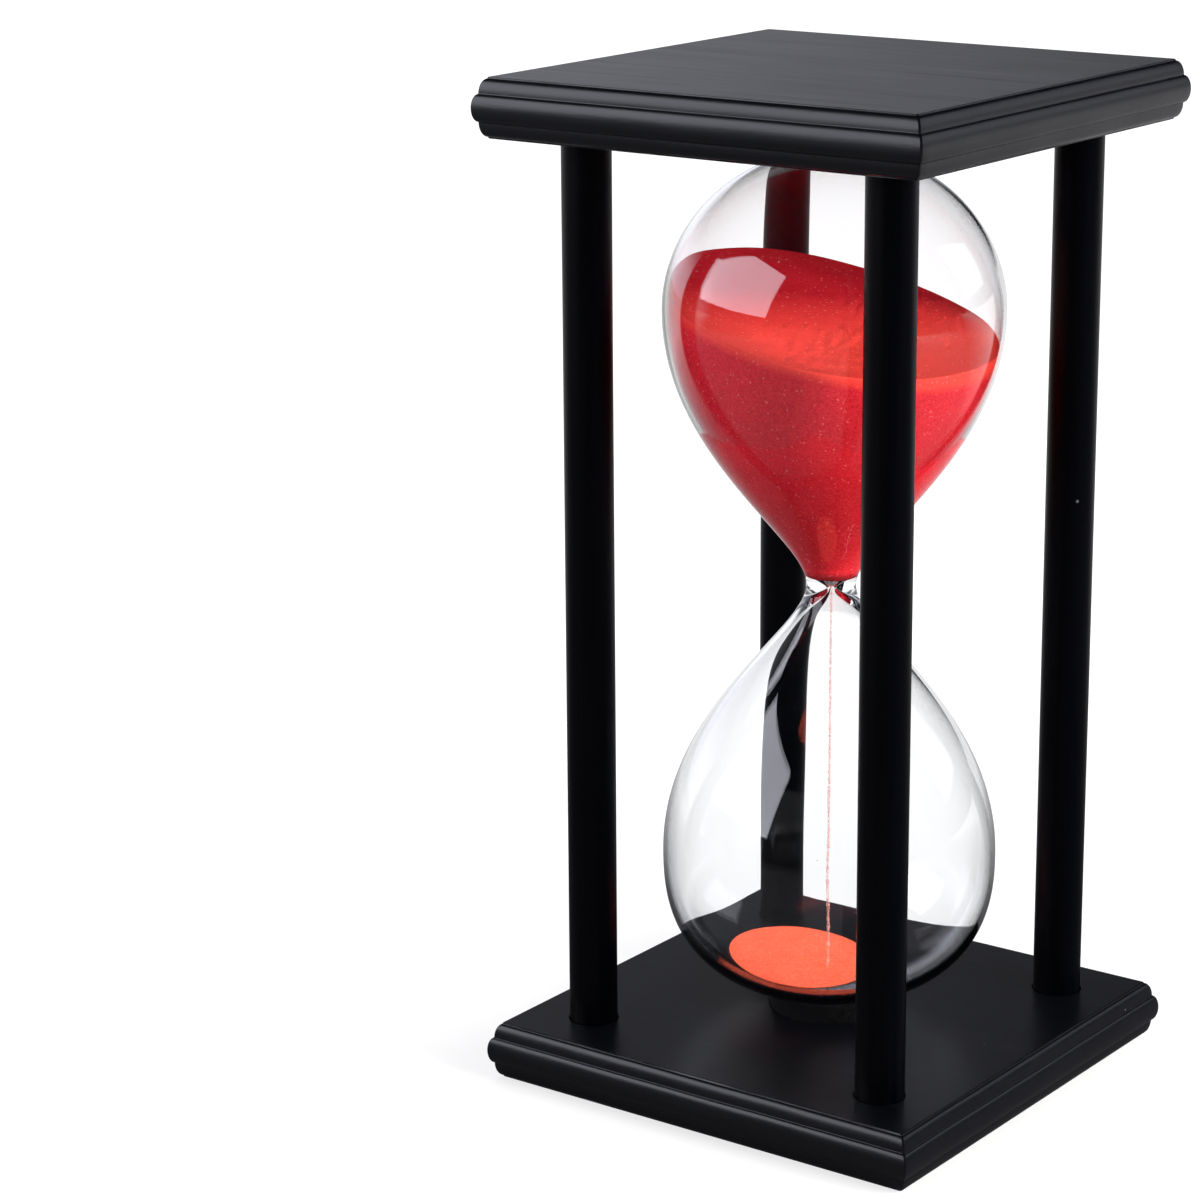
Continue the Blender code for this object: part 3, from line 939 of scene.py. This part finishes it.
# The pool is a brighter, more orange copy of the same red sand: painted light.
painted_lit_pool_sand = sand_material("painted_lit_sand", (0.86, 0.09, 0.045), (1.0, 0.17, 0.088), 0.9)
falling_grains = falling_sand_material()
blown_glass = glass_material()
black_rubber = rubber_material()


# ---- the pieces -------------------------------------------------------------------

make_plate("bottom_plate", plate_paint)
make_plate("top_plate", plate_paint)
for post in POSTS:
    show_piece(post + "_dowel", grid_mesh(post, post_grid(post)), shaded_post_paint, post)
for name, grid, material, slot, node in (
    ("glass_bulbs", glass_grid(), blown_glass, "clear_glass", "glass_vessel"),
    ("sand_heap", upper_sand_grid(), red_sand, "red_sand", "sand_upper"),
    ("sand_thread", stream_grid(), falling_grains, "red_sand", "sand_stream"),
    ("sand_pool", lower_sand_grid(), painted_lit_pool_sand, "red_sand", "sand_lower"),
    ("stopper_plug", stopper_grid(), black_rubber, "soft_rubber", "fill_stopper"),
):
    show_piece(name, grid_mesh(name, grid), material, node)
for seat in ("seat_ring_bottom", "seat_ring_top"):
    ring = grid_mesh(seat, seat_grid(seat), ring=True)
    show_piece(seat + "_pad", ring, black_rubber, seat)


# ---- studio -----------------------------------------------------------------------

COOL, WHITE, WARM = (0.89, 0.90, 1.0), (1.0, 1.0, 1.0), (1.0, 0.97, 0.93)
FLOOR_HALF_SIDE = 6.0
FLOOR_GAP = 0.0002
MATT_WORLD = 0.52
ROOM_STRENGTH = 1.25


def softbox(name, azimuth, elevation, distance, width, height, power, colour, lights, reflects):
    """A soft rectangular lamp, placed by its direction from the middle of the object:
    azimuth 0 is in front, and a positive azimuth is to the right. It can light matt
    surfaces, show in glossy ones, or both."""
    lamp = bpy.data.lights.new(name, "AREA")
    lamp.shape = "RECTANGLE"
    lamp.size = width
    lamp.size_y = height
    lamp.energy = power
    lamp.color = colour
    thing = bpy.data.objects.new(name, lamp)
    bpy.context.scene.collection.objects.link(thing)
    a, e = math.radians(azimuth), math.radians(elevation)
    middle = Vector((0, 0, NECK_Z))
    offset = Vector((math.sin(a) * math.cos(e), -math.cos(a) * math.cos(e), math.sin(e)))
    thing.location = middle + offset * distance
    thing.rotation_euler = (middle - thing.location).to_track_quat("-Z", "Y").to_euler()
    thing.visible_camera = False
    thing.visible_diffuse = lights
    thing.visible_glossy = reflects
    thing.visible_transmission = reflects


def ray_kinds(tree):
    """What is looking, each 1 or 0: a clear view, which is the camera's own, straight
    or through glass; a matt surface gathering light; and a glossy reflection."""
    path = tree.nodes.new("ShaderNodeLightPath").outputs
    from_matt = calc(tree, "GREATER_THAN", path["Diffuse Depth"], 0.5)
    from_gloss = calc(tree, "GREATER_THAN", path["Glossy Depth"], 0.5)
    straight = calc(tree, "MAXIMUM", path["Is Camera Ray"], path["Is Transmission Ray"])
    direct = calc(tree, "SUBTRACT", 1.0, calc(tree, "MAXIMUM", from_matt, from_gloss))
    return times(tree, straight, direct), from_matt, from_gloss


def lay_floor():
    """A matt floor. A clear view finds it almost white, and whiter further off. A
    reflection finds it dark, with a glow on the far side, and a matt surface dark."""
    material, tree, shader, place = new_material("pale_floor")
    seen, _, from_gloss = ray_kinds(tree)
    length = add_node(tree, "ShaderNodeVectorMath", operation="LENGTH", i0=place)
    far_off = ramp(tree, length.outputs["Value"], (0.05, 0.68), (0.45, 1.0))
    away = distance_along(tree, place, (-0.545, 0.839, 0.0))
    far_side = ramp(tree, away, (0.1, 0.03), (0.5, 0.8))
    glow = calc(tree, "MAXIMUM", times(tree, far_off, seen), times(tree, far_side, from_gloss))
    colour = blend(tree, seen, (0.07, 0.07, 0.075), (0.25, 0.25, 0.25))
    fill_in(tree, shader, Base_Color=colour, Roughness=0.9, Specular_IOR_Level=0.0)
    fill_in(tree, shader, Emission_Color=(1.0, 1.0, 1.0, 1.0), Emission_Strength=glow)
    far, near = FLOOR_HALF_SIDE, -FLOOR_HALF_SIDE
    corners = [(near, near, 0), (far, near, 0), (far, far, 0), (near, far, 0)]
    mesh = bpy.data.meshes.new("floor")
    mesh.from_pydata(corners, [], [(0, 1, 2, 3)])
    mesh.materials.append(material)
    floor = bpy.data.objects.new("floor", mesh)
    floor.location.z = cad_box[0].z - FLOOR_GAP
    bpy.context.scene.collection.objects.link(floor)


def paint_world():
    """The surroundings. A clear view finds them white and a matt surface an even
    grey. A reflection finds a dark room with a pale, cool wall on the left, which is
    brightest near the floor."""
    world = bpy.data.worlds.new("studio")
    bpy.context.scene.world = world
    world.use_nodes = True
    tree = world.node_tree
    seen, from_matt, from_gloss = ray_kinds(tree)
    looking = tree.nodes.new("ShaderNodeTexCoord").outputs["Generated"]
    leftwards = distance_along(tree, looking, (-0.94, 0.342, 0.0))
    rise = add_node(tree, "ShaderNodeSeparateXYZ", i0=looking).outputs["Z"]
    wall = times(tree, ramp(tree, leftwards, (0.62, 0.02), (0.92, 1.0)), ROOM_STRENGTH)
    room = times(tree, wall, ramp(tree, rise, (0.14, 1.0), (0.34, 0.08)))
    strength = mix(tree, seen, mix(tree, from_matt, room, MATT_WORLD), 1.0)
    colour = blend(tree, from_gloss, WHITE, COOL)
    fill_in(tree, tree.nodes["Background"], Color=colour, Strength=strength)


softbox("left_window", -40, 26, 1.0, 1.1, 0.62, 8.2, COOL, lights=False, reflects=True)
softbox("left_fill", -35, 10, 1.0, 1.0, 0.6, 8.5, COOL, lights=True, reflects=False)
softbox("right_softbox", 95, 18, 1.1, 0.6, 0.9, 34.0, WARM, lights=True, reflects=False)
softbox("right_strip", 142, 24, 1.1, 0.5, 0.6, 1.0, COOL, lights=False, reflects=True)
softbox("high_softbox", 240, 55, 1.1, 0.8, 0.8, 5.0, COOL, lights=True, reflects=False)
lay_floor()
paint_world()
bpy.context.scene.view_settings.view_transform = "Standard"
bpy.context.scene.view_settings.look = "None"


# ---- camera -----------------------------------------------------------------------

CAMERA_PLACE = (0.45938574, -0.71201884, 0.35397413)
CAMERA_AZIMUTH = math.radians(36.6647)
CAMERA_ELEVATION = math.radians(15.4461)
CAMERA_ROLL = math.radians(0.46415)
CAMERA_LENS = 107.336
CAMERA_SENSOR = 36.0
CLIP_START = 0.01


def place_camera():
    """A camera that stands to the right of the front, looks down at the object and is
    rolled by a little. Its axes are its right, its top and the way back from its view."""
    cosine, sine = math.cos(CAMERA_AZIMUTH), math.sin(CAMERA_AZIMUTH)
    flat = math.cos(CAMERA_ELEVATION)
    level = Vector((cosine, sine, 0))
    back = Vector((sine * flat, -cosine * flat, math.sin(CAMERA_ELEVATION)))
    up = back.cross(level)
    right = math.cos(CAMERA_ROLL) * level - math.sin(CAMERA_ROLL) * up
    top = math.sin(CAMERA_ROLL) * level + math.cos(CAMERA_ROLL) * up
    lens = bpy.data.cameras.new("camera")
    lens.lens = CAMERA_LENS
    lens.sensor_width = CAMERA_SENSOR
    lens.clip_start = CLIP_START
    camera = bpy.data.objects.new("camera", lens)
    turn = Matrix((right, top, back)).transposed().to_4x4()
    camera.matrix_world = Matrix.Translation(CAMERA_PLACE) @ turn
    bpy.context.scene.collection.objects.link(camera)
    bpy.context.scene.camera = camera


place_camera()
bpy.context.view_layer.update()
